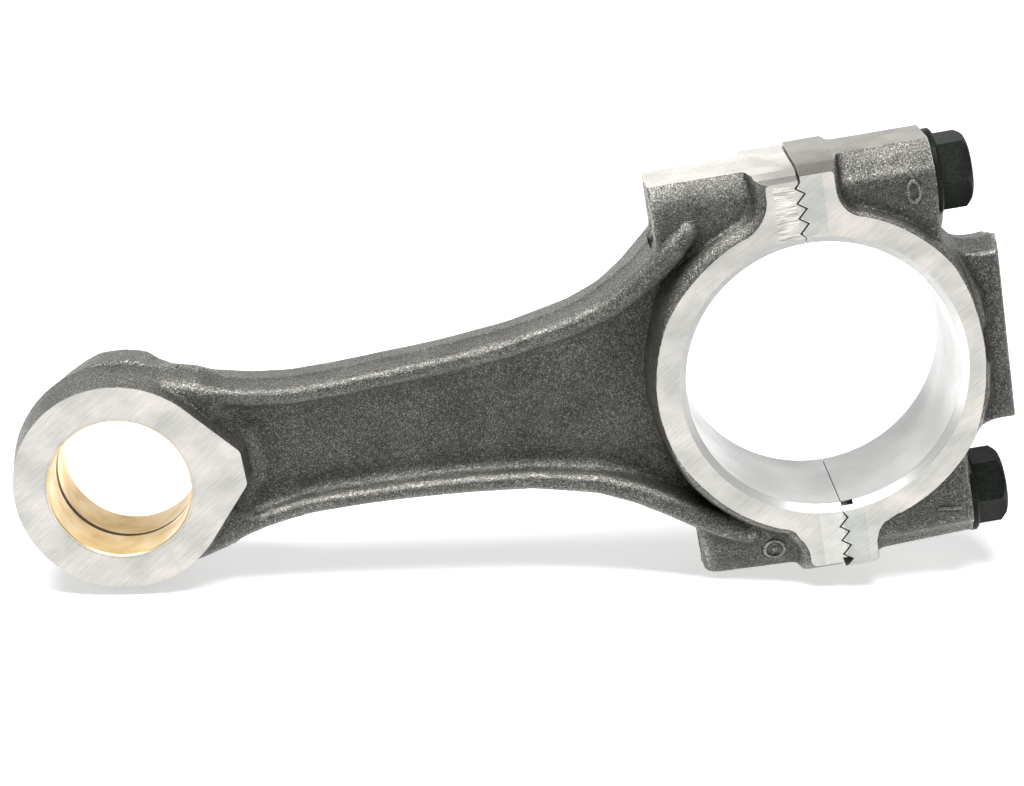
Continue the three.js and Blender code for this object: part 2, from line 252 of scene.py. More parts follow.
# centre line of each flange's rounded front edge: x, z, depth of its axis and radius
UPPER_RIDGE = [
    (-133, 16.0, 6.0, 1.7), (-126, 14.2, 6.3, 1.9), (-117, 13.2, 6.4, 1.9), (-108, 13.2, 6.5, 1.9),
    (-96, 13.7, 6.5, 1.9), (-82, 14.2, 6.6, 1.9), (-67, 15.6, 6.7, 2.0), (-52, 18.5, 7.0, 2.2),
    (-44, 21.2, 7.4, 2.4), (-37.4, 25.2, 8.9, 2.7), (-32.2, 29.3, 10.4, 2.8),
    (-28, 33.0, 11.5, 2.6), (-24.6, 36.2, 11.0, 2.2),
]
LOWER_RIDGE = [
    (-138, -17.9, 5.6, 1.2), (-128, -14.6, 6.2, 1.7), (-117, -13.0, 6.4, 1.8), (-108, -12.9, 6.5, 1.8),
    (-96, -13.2, 6.5, 1.8), (-82, -14.0, 6.6, 1.9), (-67, -15.6, 6.7, 2.0), (-52, -19.0, 7.2, 2.3),
    (-44, -22.2, 8.2, 2.5), (-37, -26.0, 9.4, 2.6), (-31, -29.8, 10.4, 2.6),
    (-26, -32.8, 10.9, 2.5), (-21.0, -35.2, 10.4, 2.3),
]


def cap_shoulder_outline():
    """Thinner web behind the ring, between the cap's bosses."""
    return mirrored([
        (0, BOLT_Z + 4), (SEAT_X, BOLT_Z + 4), (SEAT_X, 26.4), (SEAT_X - 0.6, 25),
        (33.6, 19.0), (36.2, 12.0), (37.0, 5.0), (34, 0),
    ])


def pad_outline():
    """Balance pad on the crown, with a scoop between each of its ends and the bolt's seat."""
    ends = []
    for z in (PAD_TOP_Z, PAD_LOW_Z):
        scoop = bend((PAD_X - 1, z - 0.3), (SEAT_X + 3.6, z - 2.2), (SEAT_X - 1.0, SCOOP_Z), 12)
        ends.append([(PAD_X, z), *scoop, (20, SCOOP_Z)])
    return ends[0] + [(x, -z) for x, z in reversed(ends[1])]


def split_line():
    """The serrated joint from bottom to top, with all its teeth leaning the same way."""
    def teeth(first, count):
        tips = [first + k * TOOTH_PITCH for k in range(count)]
        return [p for z in tips for p in ((-TOOTH_DEPTH / 2, z), (TOOTH_DEPTH / 2, z + TOOTH_LONG_FLANK))]
    return [
        (-TOOTH_DEPTH / 2, -FAR), *teeth(LOWER_TEETH_Z, 5), (0, 1 - UPPER_TEETH_Z),
        (0, UPPER_TEETH_Z - 1), *teeth(UPPER_TEETH_Z, 4)[:-1], (0, CAP_EAR_Z - 1.7), (0, FAR),
    ]


# ---------------------------------------------------------------- distance fields
def distance(outline, x, z):
    """Signed distance to a closed outline in (x, z), negative inside."""
    nearest = np.full(np.broadcast(x, z).shape, 1e9, np.float32)
    inside = np.zeros(nearest.shape, bool)
    for (ax, az), (bx, bz) in zip(outline, outline[1:] + outline[:1]):
        dx, dz = bx - ax, bz - az
        length = dx * dx + dz * dz
        if length < 1e-12:
            continue
        t = np.clip(((x - ax) * dx + (z - az) * dz) / length, 0, 1)
        nearest = np.minimum(nearest, (x - ax - t * dx) ** 2 + (z - az - t * dz) ** 2)
        if dz:
            inside ^= ((az > z) != (bz > z)) & (x < dx * (z - az) / dz + ax)
    return np.where(inside, -1, 1) * np.sqrt(nearest)


def smooth_min(a, b, radius):
    share = np.maximum(radius - np.abs(a - b), 0) / radius
    return np.minimum(a, b) - share * share * radius / 4


def smooth_max(a, b, radius):
    return -smooth_min(-a, -b, radius)


def ramp(value, start, end):
    t = np.clip((value - start) / (end - start), 0, 1)
    return t * t * (3 - 2 * t)


def boss(x, y, z, bolt_z, end, taper, rounding):
    """Round boss over a bolt, from the split to `end` and slimmer towards it."""
    way = math.copysign(1, end)
    radius = BOSS_R - taper * np.clip(x / end, 0, 1.2)
    return smooth_max(np.hypot(y, z - bolt_z) - radius, way * (x - end), rounding)


def ridge(x, depth, z, path):
    """A rounded rib with upright sides along a path of x, z, depth of axis and radius."""
    made = np.float32(1e9)
    for (ax, az, a_depth, a_radius), (bx, bz, b_depth, b_radius) in zip(path, path[1:]):
        dx, dz = bx - ax, bz - az
        t = np.clip(((x - ax) * dx + (z - az) * dz) / (dx * dx + dz * dz), 0, 1)
        away = np.hypot(x - ax - t * dx, z - az - t * dz)
        over = np.maximum(depth - a_depth - t * (b_depth - a_depth), 0)
        made = np.minimum(made, np.hypot(away, over) - a_radius - t * (b_radius - a_radius))
    return made


def crank_end(x, depth, z, ear_z, ear_slope, bead):
    """Ring and ears, drafted from their machined face; where bead is 1 the forged edge is well rounded."""
    radius = 1.0 + 4.0 * bead
    grown = 1.5 * bead + (CRANK_HALF_Y - depth) * RING_DRAFT
    face = smooth_max(distance(crank_outline(), x, z) - grown, depth - CRANK_HALF_Y - 0.6, radius)
    end = np.abs(z) - ear_z + np.where(z < 0, LOWER_EAR_INSET, 0) - (CRANK_HALF_Y - depth) * ear_slope
    return smooth_max(face, end, 0.8)


def rod_field(x, y, z):
    depth = np.abs(y)
    # I-beam with drafted flanges
    half = FLANGE_HALF_Y + FLANGE_GROWTH * ramp(x, -62, -28)
    beam = smooth_max(distance(shank_outline(), x, z) + depth * FLANGE_DRAFT, depth - half, 3.2)
    # scooped pocket on each side of the web, running out softly towards the small end
    out = distance(web_outline(), x, z)
    out = np.where(out > 0, out * (1 - 0.3 * ramp(-x, 112, 124)), out)
    down = WEB_HALF_Y + POCKET_R - depth
    scoop = np.hypot(np.maximum(out, 0), np.maximum(down, 0)) + np.minimum(np.maximum(out, down), 0)
    beam = smooth_max(beam, POCKET_R - scoop, 1.0)
    # small end: ring, nose, and a ledge beside the nose
    pin = np.hypot(x + CENTRES, z)
    ring = pin - SMALL_FACE_R + (depth - SMALL_HALF_Y) * SMALL_DRAFT
    nose = distance(small_outline(), x, z) + (depth - SMALL_HALF_Y) * NOSE_DRAFT
    head = np.maximum(np.minimum(ring, nose), depth - SMALL_HALF_Y - 1.5)
    ledge = distance(NOSE_LEDGE, x, z) + (depth - LEDGE_HALF_Y) * LEDGE_DRAFT
    ledge = smooth_max(ledge, depth - LEDGE_HALF_Y, 2.4)
    solid = smooth_min(beam, ledge, 4.0)
    # raised pad on top of the small end, behind the parting line
    angle = np.degrees(np.arctan2(z, x + CENTRES))
    spread = np.maximum(angle - 93, 0) * 0.085 + np.maximum(70 - angle, 0) * 0.16
    lump = smooth_max(pin - TOP_PAD_R + spread, np.abs(y - TOP_PAD_Y) - TOP_PAD_HALF_Y, 1.0)
    head = smooth_min(head, lump, 0.8)
    # crank end: bosses and flange ridges, then ring and ears
    for bolt_z, taper, rounding, blend in ((BOLT_Z, 0.0, 1.0, 1.2), (-BOLT_Z, 0.9, 3.4, 3.2)):
        solid = smooth_min(solid, boss(x, y, z, bolt_z, ROD_BOSS_X, taper, rounding), blend)
    for path in (UPPER_RIDGE, LOWER_RIDGE):
        solid = smooth_min(solid, ridge(x, depth, z, path), 1.0)
    solid = smooth_min(solid, head, 1.0)
    bead = ramp(z, 12, 30) + 0.8 * ramp(-z, 8, 22)
    solid = smooth_min(solid, crank_end(x, depth, z, ROD_EAR_Z, ROD_EAR_SLOPE, bead), 1.4)
    return solid - FLASH_HEIGHT * np.exp(-(y / FLASH_WIDTH) ** 2) * ramp(x, -170, -150)


def cap_field(x, y, z):
    depth = np.abs(y)
    pad = distance(pad_outline(), x, z) + depth * PAD_DRAFT
    solid = smooth_max(pad, depth - PAD_HALF_Y, 0.9)
    shoulder = distance(cap_shoulder_outline(), x, z) + (depth - SHOULDER_HALF_Y) * SHOULDER_DRAFT
    solid = smooth_min(solid, smooth_max(shoulder, depth - SHOULDER_HALF_Y, 2.0), 1.2)
    for bolt_z, taper in ((BOLT_Z, 0.0), (-BOLT_Z, 1.4)):
        solid = smooth_min(solid, boss(x, y, z, bolt_z, SEAT_X + 1.0, taper, 0.6), 2.0)
    bead = 0.45 * ramp(z, 8, 20) * ramp(x, 4, 10)
    return smooth_min(solid, crank_end(x, depth, z, CAP_EAR_Z, CAP_EAR_SLOPE, bead), 1.2)


# ---------------------------------------------------------------- meshes
CUBE = [(i, j, k) for i in (0, 1) for j in (0, 1) for k in (0, 1)]
CUBE_EDGES = [
    (a, b) for a in range(8) for b in range(a + 1, 8) if np.abs(np.subtract(CUBE[a], CUBE[b])).sum() == 1
]


def surface_net(field, corner, step):
    """Closed quad mesh of the surface where a sampled field passes through zero."""
    inside = field < 0
    shape = np.array(field.shape) - 1
    windows = [tuple(slice(o, o + n) for o, n in zip(offset, shape)) for offset in CUBE]
    filled = sum(inside[window].astype(np.int8) for window in windows)
    cells = np.argwhere((filled > 0) & (filled < 8))
    values = np.stack([field[tuple((cells + offset).T)] for offset in CUBE], 1)
    total = np.zeros((len(cells), 3))
    crossings = np.zeros((len(cells), 1))
    for a, b in CUBE_EDGES:
        hit = (values[:, a] < 0) != (values[:, b] < 0)
        share = values[hit, a] / (values[hit, a] - values[hit, b])
        start, end = np.array(CUBE[a], float), np.array(CUBE[b], float)
        total[hit] += start + share[:, None] * (end - start)
        crossings[hit] += 1
    points = np.array(corner) + (cells + total / crossings) * step
    number = np.full(shape, -1)
    number[tuple(cells.T)] = np.arange(len(cells))
    quads = []
    for axis in range(3):
        u, v = np.eye(3, dtype=int)[[(axis + 1) % 3, (axis + 2) % 3]]
        near = np.take(inside, range(inside.shape[axis] - 1), axis)
        far = np.take(inside, range(1, inside.shape[axis]), axis)
        edges = np.argwhere(near != far)
        around = [number[tuple((edges - back).T)] for back in (u + v, v, 0 * u, u)]
        ring = np.stack(around, 1)
        leaving = near[tuple(edges.T)]
        quads.append(np.where(leaving[:, None], ring, ring[:, ::-1]))
    return points, np.concatenate(quads)


def piece_from(name, points, faces):
    mesh = bpy.data.meshes.new(name)
    mesh.from_pydata([tuple(p) for p in points], [], [tuple(int(i) for i in face) for face in faces])
    mesh.update()
    piece = bpy.data.objects.new(name, mesh)
    bpy.context.scene.collection.objects.link(piece)
    return piece


def forging(name, field, low, high):
    counts = [int(math.ceil((h - l) / STEP)) + 1 for l, h in zip(low, high)]
    axes = [l + STEP * np.arange(n, dtype=np.float32) for l, n in zip(low, counts)]
    x, y, z = (axis.reshape([-1 if k == i else 1 for k in range(3)]) for i, axis in enumerate(axes))
    sampled = np.full(counts, STEP / 2, np.float32)
    sampled[1:-1, 1:-1, 1:-1] = np.broadcast_to(field(x, y, z), counts)[1:-1, 1:-1, 1:-1]
    points, quads = surface_net(sampled, low, STEP)
    return piece_from(name, points, quads)


def prism(name, outline, half_y, y=0.0):
    """An outline in (x, z), extruded either side of y."""
    count = len(outline)
    points = [(x, y - half_y, z) for x, z in outline] + [(x, y + half_y, z) for x, z in outline]
    sides = [(i, (i + 1) % count, (i + 1) % count + count, i + count) for i in range(count)]
    return outward(piece_from(name, points, [*sides, range(count), range(2 * count - 1, count - 1, -1)]))


def outward(piece):
    shape = bmesh.new()
    shape.from_mesh(piece.data)
    bmesh.ops.recalc_face_normals(shape, faces=shape.faces)
    shape.to_mesh(piece.data)
    shape.free()
    return piece


def turned(name, profile, segments, place, closed=False):
    """A turned solid from [radius, along] pairs; place(radius, along, angle) gives each point."""
    points = []
    faces = []
    rings = []
    for radius, length in profile:
        first = len(points)
        if radius < 1e-9:
            points.append(place(0.0, length, 0.0))
            rings.append([first] * segments)
        else:
            points += [place(radius, length, 2 * math.pi * k / segments) for k in range(segments)]
            rings.append(list(range(first, first + segments)))
    pairs = list(zip(rings, rings[1:])) + ([(rings[-1], rings[0])] if closed else [])
    for lower, upper in pairs:
        for k in range(segments):
            n = (k + 1) % segments
            corners = list(dict.fromkeys([lower[k], lower[n], upper[n], upper[k]]))
            if len(corners) > 2:
                faces.append(corners)
    return outward(piece_from(name, points, faces))


def about_y(x):
    return lambda radius, length, angle: (x + radius * math.cos(angle), length, radius * math.sin(angle))


def about_x(z):
    return lambda radius, length, angle: (length, radius * math.cos(angle), z + radius * math.sin(angle))


def block(name, low, high):
    outline = [(low[0], low[2]), (high[0], low[2]), (high[0], high[2]), (low[0], high[2])]
    return prism(name, outline, (high[1] - low[1]) / 2, (high[1] + low[1]) / 2)


def machine(piece, tools, operation="DIFFERENCE"):
    """Cuts (or joins) the tools; each cut face keeps its tool's material."""
    for tool in tools:
        change = piece.modifiers.new(tool.name, "BOOLEAN")
        change.operation = operation
        change.solver = "MANIFOLD"
        change.material_mode = "TRANSFER"
        change.object = tool
        graph = bpy.context.evaluated_depsgraph_get()
        mesh = bpy.data.meshes.new_from_object(piece.evaluated_get(graph), depsgraph=graph)
        piece.modifiers.clear()
        piece.data = mesh
        bpy.data.objects.remove(tool)
    return piece


# ---------------------------------------------------------------- materials
class Nodes:
    """Short hand for wiring one material."""

    def __init__(self, name, base, roughness, metallic):
        self.material = bpy.data.materials.new(name)
        self.material.use_nodes = True
        self.tree = self.material.node_tree
        self.shader = self.tree.nodes["Principled BSDF"]
        self.shader.inputs["Base Color"].default_value = (*base, 1)
        self.shader.inputs["Roughness"].default_value = roughness
        self.shader.inputs["Metallic"].default_value = metallic
        self.place = self.add("ShaderNodeMapping")
        self.link(self.add("ShaderNodeTexCoord").outputs["Object"], self.place.inputs["Vector"])
        back = ROD.inverted()
        self.place.inputs["Location"].default_value = back.translation
        self.place.inputs["Rotation"].default_value = back.to_euler()
        self.place.inputs["Scale"].default_value = back.to_scale()

    def add(self, kind, **settings):
        node = self.tree.nodes.new(kind)
        for key, value in settings.items():
            if key in node.inputs:
                node.inputs[key].default_value = value
            else:
                setattr(node, key, value)
        return node

    def link(self, source, target):
        self.tree.links.new(source, target)

    def local(self, stretch):
        """Rod frame coordinates in millimetres, stretched before a texture reads them."""
        node = self.add("ShaderNodeMapping")
        node.inputs["Scale"].default_value = stretch
        self.link(self.place.outputs["Vector"], node.inputs["Vector"])
        return node.outputs["Vector"]

    def noise(self, scale, detail=3.0, stretch=(1, 1, 1), rough=0.5):
        node = self.add("ShaderNodeTexNoise", Scale=scale, Detail=detail, Roughness=rough)
        self.link(self.local(stretch), node.inputs["Vector"])
        return node.outputs["Fac"]

    def ramp(self, value, stops):
        node = self.add("ShaderNodeValToRGB")
        points = node.color_ramp.elements
        while len(points) < len(stops):
            points.new(0.5)
        for point, (at, color) in zip(points, stops):
            point.position = at
            point.color = (*color, 1) if isinstance(color, tuple) else (color, color, color, 1)
        self.link(value, node.inputs["Fac"])
        return node.outputs["Color"]

    def mix(self, a, b, factor, blend="MIX"):
        node = self.add("ShaderNodeMix", data_type="RGBA", blend_type=blend)
        self.feed(factor, node.inputs[0])
        self.feed(a, node.inputs[6])
        self.feed(b, node.inputs[7])
        return node.outputs[2]

    def times(self, tone, factor, where=None):
        """A tone multiplied by a factor, all over or only where a mask is 1."""
        product = self.mix(tone, factor, 1.0, "MULTIPLY")
        return product if where is None else self.mix(tone, product, where)

    def xyz(self):
        """The three rod frame coordinates in millimetres."""
        node = self.add("ShaderNodeSeparateXYZ")
        self.link(self.place.outputs["Vector"], node.inputs[0])
        return node.outputs["X"], node.outputs["Y"], node.outputs["Z"]

    def band(self, value, centre, half):
        """A mask that is 1 where the value is within half of the centre."""
        return self.math("COMPARE", value, centre, half)

    def feed(self, value, socket):
        if isinstance(value, bpy.types.NodeSocket):
            self.link(value, socket)
        elif isinstance(value, tuple):
            socket.default_value = (*value, 1)
        else:
            socket.default_value = value

    def math(self, operation, a, b=0.0, c=0.0):
        node = self.add("ShaderNodeMath", operation=operation)
        for value, socket in zip((a, b, c), node.inputs):
            self.feed(value, socket)
        return node.outputs[0]

    def bump(self, height, depth, strength, under=None):
        node = self.add("ShaderNodeBump", Strength=strength, Distance=depth * MM)
        self.link(height, node.inputs["Height"])
        if under is not None:
            self.link(under, node.inputs["Normal"])
        return node.outputs["Normal"]


def forging_skin():
    """Shot-blasted forging: nearly black scale with fine bright grains, partly peened metal and partly
    painted glints; painted shade darkens its flat sides, its hollows and a line beside the flash, and
    painted light brightens faces across the bore and its edges, the edges also as wear.
    """
    m = Nodes("forged_steel", (0.10, 0.10, 0.095), 0.42, 0.85)
    peen = m.noise(3.3, 2.0, rough=0.65)
    coarse = m.noise(1.1, 2.0)
    cloud = m.noise(0.10, 3.0)
    surface = m.add("ShaderNodeNewGeometry")
    # bright grains: partly the peened metal's own tone, partly painted glints
    tone = m.ramp(peen, [
        (0.36, (0.064, 0.062, 0.056)), (0.5, (0.120, 0.118, 0.107)),
        (0.60, (0.20, 0.198, 0.183)), (0.72, (0.46, 0.455, 0.43)),
    ])
    tone = m.times(tone, m.ramp(coarse, [(0.3, 0.75), (0.7, 1.2)]))
    tone = m.times(tone, m.ramp(cloud, [(0.3, 0.82), (0.7, 1.15)]))
    # painted shade darkens the hollows; edges are lightened, partly as wear and partly as painted highlight
    painted_hollow_shade_and_edge_wear = [(0.44, 0.3), (0.485, 0.8), (0.5, 1.0), (0.52, 1.3), (0.56, 2.3)]
    tone = m.times(tone, m.ramp(surface.outputs["Pointiness"], painted_hollow_shade_and_edge_wear))
    # painted shade and light: flat sides facing along the bore are darkened, faces across it lightened
    sideways = m.add("ShaderNodeVectorMath", operation="DOT_PRODUCT")
    m.link(m.add("ShaderNodeTexCoord").outputs["Normal"], sideways.inputs[0])
    sideways.inputs[1].default_value = bore
    painted_flank_shade = [(0.0, 1.42), (0.4, 1.22), (0.66, 1.33), (0.93, 0.59)]
    tone = m.times(tone, m.ramp(m.math("ABSOLUTE", sideways.outputs["Value"]), painted_flank_shade))
    # painted shadow: a dark line just behind the flash, where its step would shade the skin
    past_flash_shadow = m.math("ABSOLUTE", m.math("ADD", m.xyz()[1], -FLASH_SHADOW_Y))
    tone = m.times(tone, m.ramp(past_flash_shadow, [(0.12, 0.45), (0.34, 1.0)]))
    m.link(tone, m.shader.inputs["Base Color"])
    m.link(m.ramp(peen, [(0.4, 0.5), (0.65, 0.3)]), m.shader.inputs["Roughness"])
    dents = m.bump(coarse, 0.3, 0.7)
    m.link(m.bump(peen, 0.22, 0.9, dents), m.shader.inputs["Normal"])
    return m.material


def milled_steel():
    """Ground face: pale grey with cream patches, slanting tool marks and stripes beside the upper split."""
    m = Nodes("milled_steel", (0.56, 0.545, 0.525), 0.36, 0.85)
    patches = m.noise(0.10, 3.0, stretch=(1.0, 1.0, 1.5))
    tone = m.ramp(patches, [
        (0.33, (0.395, 0.39, 0.37)), (0.5, (0.455, 0.445, 0.42)), (0.66, (0.525, 0.495, 0.465)),
    ])
    slant = m.add("ShaderNodeMapping", vector_type="TEXTURE")
    slant.inputs["Rotation"].default_value = (0.0, math.radians(-32), 0.0)
    slant.inputs["Scale"].default_value = (6.0, 1.0, 0.38)
    m.link(m.place.outputs["Vector"], slant.inputs["Vector"])
    marks = m.add("ShaderNodeTexNoise", Scale=1.1, Detail=4.0, Roughness=0.7)
    m.link(slant.outputs["Vector"], marks.inputs["Vector"])
    tone = m.times(tone, m.ramp(marks.outputs["Fac"], [(0.30, 0.86), (0.5, 1.0), (0.68, 1.10)]))
    x, y, z = m.xyz()
    # stripes on the rod's side of the upper teeth
    broach = m.noise(1.0, 2.0, stretch=(0.25, 0.3, 3.4), rough=0.6)
    stripes = m.ramp(broach, [(0.40, 0.68), (0.5, 1.0), (0.60, 1.38)])
    tone = m.times(tone, stripes, m.math("MULTIPLY", m.band(x, -3.4, 2.3), m.band(z, 37.2, 6.6)))
    # bluish on the cap's side of all teeth, paler on the rod's side of the lower ones
    toothed = m.band(m.math("ABSOLUTE", z), 40.0, 8.0)
    toothed = m.math("MULTIPLY", toothed, m.band(m.math("ABSOLUTE", y), CRANK_HALF_Y, 0.6))
    tone = m.times(tone, (0.86, 0.90, 0.905), m.math("MULTIPLY", toothed, m.band(x, 2.4, 2.6)))
    lower_rod = m.math("MULTIPLY", m.band(z, -40.0, 8.0), m.band(x, -2.6, 2.6))
    tone = m.times(tone, (1.16, 1.17, 1.17), m.math("MULTIPLY", lower_rod, toothed))
    # the flat on top: a painted highlight brightens it on the rod, and it is darker on the cap
    flat_highlight_and_tone = m.mix((1.75, 1.75, 1.73), (0.84, 0.83, 0.80), m.math("GREATER_THAN", x, 0.3))
    tone = m.times(tone, flat_highlight_and_tone, m.math("GREATER_THAN", z, ROD_FLAT_TOP_Z - 1.0))
    m.link(tone, m.shader.inputs["Base Color"])
    m.link(m.ramp(patches, [(0.3, 0.42), (0.7, 0.32)]), m.shader.inputs["Roughness"])
    m.link(m.bump(marks.outputs["Fac"], 0.03, 0.5), m.shader.inputs["Normal"])
    return m.material


def bored_steel():
    """Bored and honed wall: fine rings round the bore's axis."""
    m = Nodes("bored_steel", (0.66, 0.66, 0.65), 0.32, 0.7)
    rings = m.noise(1.0, 4.0, stretch=(0.1, 8.0, 0.1), rough=0.6)
    patches = m.noise(0.08, 2.0)
    tone = m.times(m.ramp(rings, [(0.3, 0.9), (0.7, 1.06)]), m.ramp(patches, [(0.3, 0.88), (0.7, 1.06)]))
    depth = m.math("ABSOLUTE", m.math("MULTIPLY", m.xyz()[1], 1 / CRANK_HALF_Y))
    # painted highlight on the chamfers
    tone = m.times(tone, m.ramp(depth, [(0.905, 1.0), (0.915, 1.35)]))         # the chamfers are brighter
    m.link(m.times((0.54, 0.54, 0.53), tone), m.shader.inputs["Base Color"])
    m.link(m.ramp(patches, [(0.3, 0.36), (0.7, 0.27)]), m.shader.inputs["Roughness"])
    m.link(m.bump(rings, 0.012, 0.5), m.shader.inputs["Normal"])
    return m.material


def bronze():
    """Lining of the bushes: pale bronze with soft stains."""
    m = Nodes("bush_bronze", (0.78, 0.56, 0.27), 0.34, 0.75)
    rings = m.noise(1.0, 4.0, stretch=(0.12, 6.0, 0.12), rough=0.6)
    stain = m.noise(0.16, 3.0)
    tone = m.ramp(stain, [(0.3, (0.66, 0.45, 0.18)), (0.5, (0.76, 0.55, 0.25)), (0.7, (0.83, 0.65, 0.36))])
    tone = m.times(tone, m.ramp(rings, [(0.3, 0.88), (0.7, 1.08)]))
    m.link(tone, m.shader.inputs["Base Color"])
    m.link(m.ramp(stain, [(0.3, 0.4), (0.7, 0.3)]), m.shader.inputs["Roughness"])
    m.link(m.bump(rings, 0.015, 0.5), m.shader.inputs["Normal"])
    return m.material


def black_oxide():
    """Blackened bolts and discs, a little worn along their edges."""
    m = Nodes("bolt_steel", (0.008, 0.008, 0.008), 0.42, 0.1)
    grain = m.noise(1.6, 4.0, rough=0.65)
    edges = m.add("ShaderNodeNewGeometry").outputs["Pointiness"]
    tone = m.ramp(grain, [(0.3, (0.002, 0.0025, 0.002)), (0.7, (0.006, 0.007, 0.006))])
    tone = m.times(tone, m.ramp(edges, [(0.5, 1.0), (0.6, 4.0)]))
    m.link(tone, m.shader.inputs["Base Color"])
    m.link(m.ramp(grain, [(0.3, 0.46), (0.7, 0.36)]), m.shader.inputs["Roughness"])
    m.shader.inputs["Specular IOR Level"].default_value = 0.06
    m.link(m.bump(grain, 0.02, 0.4), m.shader.inputs["Normal"])
    return m.material


SKIN = forging_skin()
MILLED = milled_steel()
BORED = bored_steel()
BRONZE = bronze()
BLACK = black_oxide()


def painted(piece, material):
    piece.data.materials.clear()
    piece.data.materials.append(material)
    return piece


# ---------------------------------------------------------------- cutters
def bore_cutter():
    """Crank bore with its two chamfers."""
    half, radius, lead = CRANK_HALF_Y, CRANK_BORE_R, CRANK_CHAMFER
    profile = [
        (0, -half - 4), (radius + lead + 4, -half - 4), (radius, -half + lead),
        (radius, half - lead), (radius + lead + 4, half + 4), (0, half + 4),
    ]
    return painted(turned("bore_cutter", profile, 160, about_y(0)), BORED)


def face_cutters(half, low_x, high_x):
    """Milled front and back faces."""
    return [
        painted(block("face_cutter", (low_x, low_y, -FAR), (high_x, high_y, FAR)), MILLED)
        for low_y, high_y in ((-WIDE, -half), (half, WIDE))
    ]


def flat_cutters(top_z):
    """Milled flat on top; the lower one is forged and rises a little towards both ends."""
    end = 45
    low = [(x, FLAT_LOW_Z + abs(x) * FLAT_LOW_RISE) for x in (-end, 0, end)]
    return [
        painted(block("flat_cutter", (-end, -WIDE, top_z), (end, WIDE, FAR)), MILLED),
        painted(prism("flat_cutter", [(-end, -FAR), (end, -FAR), *low[::-1]], WIDE), SKIN),
    ]


def ear_cutters(low_x, high_x, ear_z, rise):
    """Milled slopes at an upper ear, from its machined faces to the flat on top."""
    for way in (1, -1):
        wedge = block("ear_slope", (low_x, 0, 0), (high_x, 6, 5))
        for vertex in wedge.data.vertices:
            x, inwards, up = vertex.co
            vertex.co = (x, way * (CRANK_HALF_Y + 0.5 - inwards), ear_z - 0.3 + (inwards - 0.5) * rise + up)
        yield painted(outward(wedge), MILLED)


def split_cutter(way):
    """Everything on one side of the serrated joint."""
    edge = [
        (x - way * (TOOTH_GAP if abs(z) > TEETH_FROM_Z else JOINT_GAP) / 2, z) for x, z in split_line()
    ]
    return painted(prism("split_cutter", edge + [(way * FAR, FAR), (way * FAR, -FAR)], WIDE), MILLED)


def threaded(bolt_z, radius, start, end, fades_at_end):
    """A right-hand thread along x about a bolt's axis; its groove fades in over a pitch from the start."""
    per_turn = 8
    count = int(abs(end - start) / BOLT_PITCH * per_turn) + 1
    stations = np.linspace(start, end, count)

    def place(share, x, angle):
        phase = (x / BOLT_PITCH + angle / (2 * math.pi)) % 1
        ease = min(1.0, abs(x - start) / BOLT_PITCH)
        if fades_at_end:
            ease = min(ease, abs(x - end) / BOLT_PITCH)
        r = share * (radius - THREAD_DEPTH * ease * abs(2 * phase - 1))
        return (x, r * math.cos(angle), bolt_z + r * math.sin(angle))

    profile = [(0, start), *[(1.0, x) for x in stations], (0, end)]
    return turned("thread", profile, 32, place)


def rod_bolt_hole(bolt_z):
    """Threaded hole right through the rod's boss, countersunk at both ends."""
    thread = threaded(bolt_z, BOLT_R + THREAD_CLEARANCE, 2.0, ROD_BOSS_X - 2.0, False)
    tools = [painted(thread, MILLED)]
    for x, way in ((0.0, 1), (ROD_BOSS_X, -1)):
        inner, outer = x - way * 3.5, x + way * 1.1
        cone = [(0, inner), (BOLT_R - 2.0, inner), (BOLT_R + 2.6, outer), (0, outer)]
        tools.append(painted(turned("mouth", cone, 48, about_x(bolt_z)), SKIN))
    return tools


def raised_line(piece, points, closed, radius=0.42):
    """A round bead, half sunk in the front of the forging, along points of (x, z)."""
    shape = bmesh.new()
    shape.from_mesh(piece.data)
    surface = BVHTree.FromBMesh(shape)
    shape.free()
    count, sides = len(points), 8
    back = Vector((0, 1, 0))
    spine = [surface.ray_cast(Vector((x, -WIDE, z)), back)[0] for x, z in points]
    turns = np.linspace(0, math.tau, sides, False)
    rings = []
    for i in range(count):
        before, after = (i - 1, (i + 1) % count) if closed else (max(i - 1, 0), min(i + 1, count - 1))
        course = (spine[after] - spine[before]).normalized()
        side = course.cross(back).normalized()
        up = course.cross(side)
        rings += [spine[i] + radius * (side * math.cos(a) + up * math.sin(a)) for a in turns]
    faces = []
    for i in range(count if closed else count - 1):
        here, there = i * sides, (i + 1) % count * sides
        for k in range(sides):
            n = (k + 1) % sides
            faces.append((here + k, here + n, there + n, there + k))
    if not closed:
        faces += [range(sides), range(count * sides - 1, (count - 1) * sides - 1, -1)]
    return painted(outward(piece_from("mark", rings, faces)), SKIN)


def ellipse(x, z, across, up, count=32):
    return [(x + across * math.cos(a), z + up * math.sin(a)) for a in np.linspace(0, math.tau, count, False)]


# ---------------------------------------------------------------- rod and cap
rod = painted(forging("rod_forging", rod_field, (-185.6, -18.2, -49.5), (4.0, 18.2, 49.5)), SKIN)
